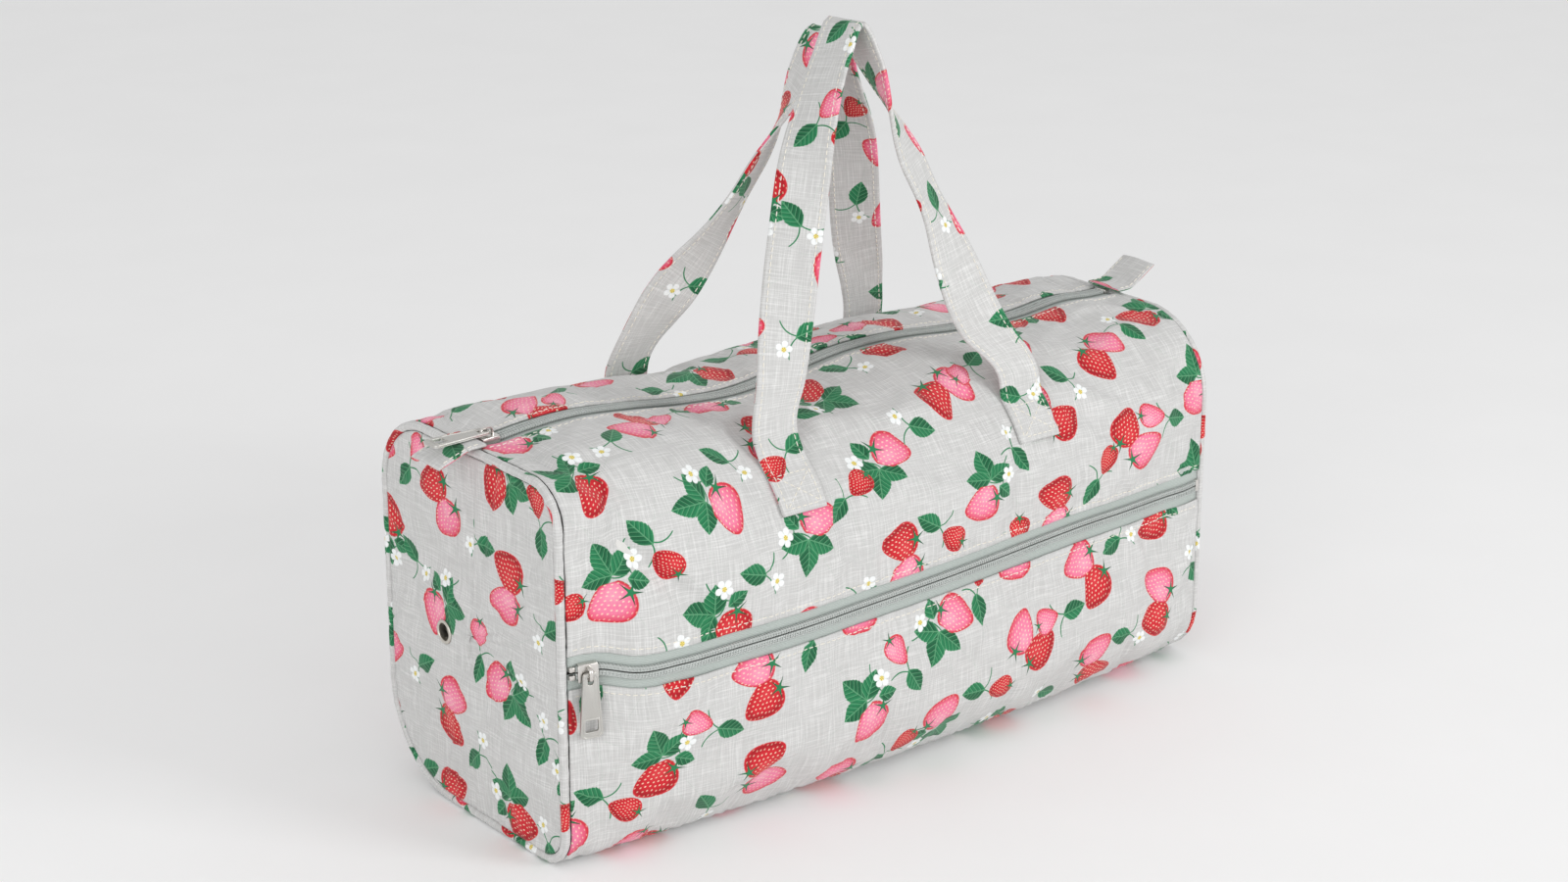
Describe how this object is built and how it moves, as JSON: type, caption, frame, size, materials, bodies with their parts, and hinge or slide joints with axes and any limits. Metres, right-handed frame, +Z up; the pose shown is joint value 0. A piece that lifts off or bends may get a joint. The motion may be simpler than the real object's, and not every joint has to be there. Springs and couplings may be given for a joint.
{
  "type": "knitting bag",
  "caption": "Printed fabric knitting bag: long zipped duffle with a separate zipped needle compartment, piped ends, yarn eyelet and two strap handles.",
  "frame": {"origin": "centre of the base, on the surface that the bag stands on", "axes": "+X along the bag towards its right end, +Z up, -Y towards the front, where the needle zip is"},
  "size_m": [0.484, 0.1989, 0.387],
  "materials": {
    "printed_cloth": "linen-effect cotton with a strawberry print",
    "strap": "the printed cloth folded into straps and tabs",
    "lining": "plain cotton lining",
    "zip_tape": "woven sage tape",
    "zip_coil": "nylon coil",
    "nickel": "nickel-plated zinc",
    "cord": "cotton piping cord"
  },
  "bodies": {
    "bag": {"front_upper_panel": "printed_cloth", "back_and_base_panel": "printed_cloth", "left_end_panel": "printed_cloth", "right_end_panel": "printed_cloth", "left_piping": "printed_cloth", "right_piping": "printed_cloth", "left_piping_cord": "cord", "right_piping_cord": "cord", "main_lining": "lining", "needle_lining": "lining", "needle_divider": "lining", "top_zip_tape_front": "zip_tape", "top_zip_tape_rear": "zip_tape", "needle_zip_tape_lower": "zip_tape", "needle_zip_tape_upper": "zip_tape", "top_zip_coil_front": "zip_coil", "top_zip_coil_rear": "zip_coil", "needle_zip_coil_lower": "zip_coil", "needle_zip_coil_upper": "zip_coil", "top_zip_stops": "nickel", "needle_zip_stops": "nickel", "yarn_eyelet": "nickel", "yarn_eyelet_washer": "nickel", "front_handle_left_foot": "strap", "front_handle_right_foot": "strap", "rear_handle_left_foot": "strap", "rear_handle_right_foot": "strap", "left_tab_root": "strap", "right_tab_root": "strap"},
    "top_slider": {"top_slider": "nickel"},
    "top_pull": {"top_pull": "nickel"},
    "needle_slider": {"needle_slider": "nickel"},
    "needle_pull": {"needle_pull": "nickel"},
    "front_handle": {"front_handle": "strap"},
    "rear_handle": {"rear_handle": "strap"},
    "left_tab": {"left_tab": "strap"},
    "right_tab": {"right_tab": "strap"}
  },
  "joints": [
    {"name": "top_zip_slide", "type": "slide", "parent": "bag", "child": "top_slider", "axis": [1, 0, 0], "range_m": [0, 0.411]},
    {"name": "top_pull_hinge", "type": "hinge", "parent": "top_slider", "child": "top_pull", "pos_m": [-0.206, 0, 0.2064], "axis": [0, 1, 0], "range_deg": [0, 150]},
    {"name": "needle_zip_slide", "type": "hinge", "parent": "bag", "child": "needle_slider", "pos_m": [0, 0.87192, 0.106], "axis": [0, 0, 1], "range_deg": [0, 24.32]},
    {"name": "needle_pull_hinge", "type": "hinge", "parent": "needle_slider", "child": "needle_pull", "pos_m": [-0.20693, -0.08631, 0.106], "axis": [-0.9775, 0.2111, 0], "range_deg": [0, 170]},
    {"name": "front_handle_fold", "type": "hinge", "parent": "bag", "child": "front_handle", "pos_m": [0, -0.072, 0.1955], "axis": [1, 0, 0], "range_deg": [0, 140]},
    {"name": "rear_handle_fold", "type": "hinge", "parent": "bag", "child": "rear_handle", "pos_m": [0, 0.072, 0.1955], "axis": [-1, 0, 0], "range_deg": [0, 146]},
    {"name": "left_tab_fold", "type": "hinge", "parent": "bag", "child": "left_tab", "pos_m": [-0.221, 0, 0.203], "axis": [0, 1, 0], "range_deg": [-60, 8]},
    {"name": "right_tab_fold", "type": "hinge", "parent": "bag", "child": "right_tab", "pos_m": [0.221, 0, 0.203], "axis": [0, -1, 0], "range_deg": [-110, 8]}
  ]
}
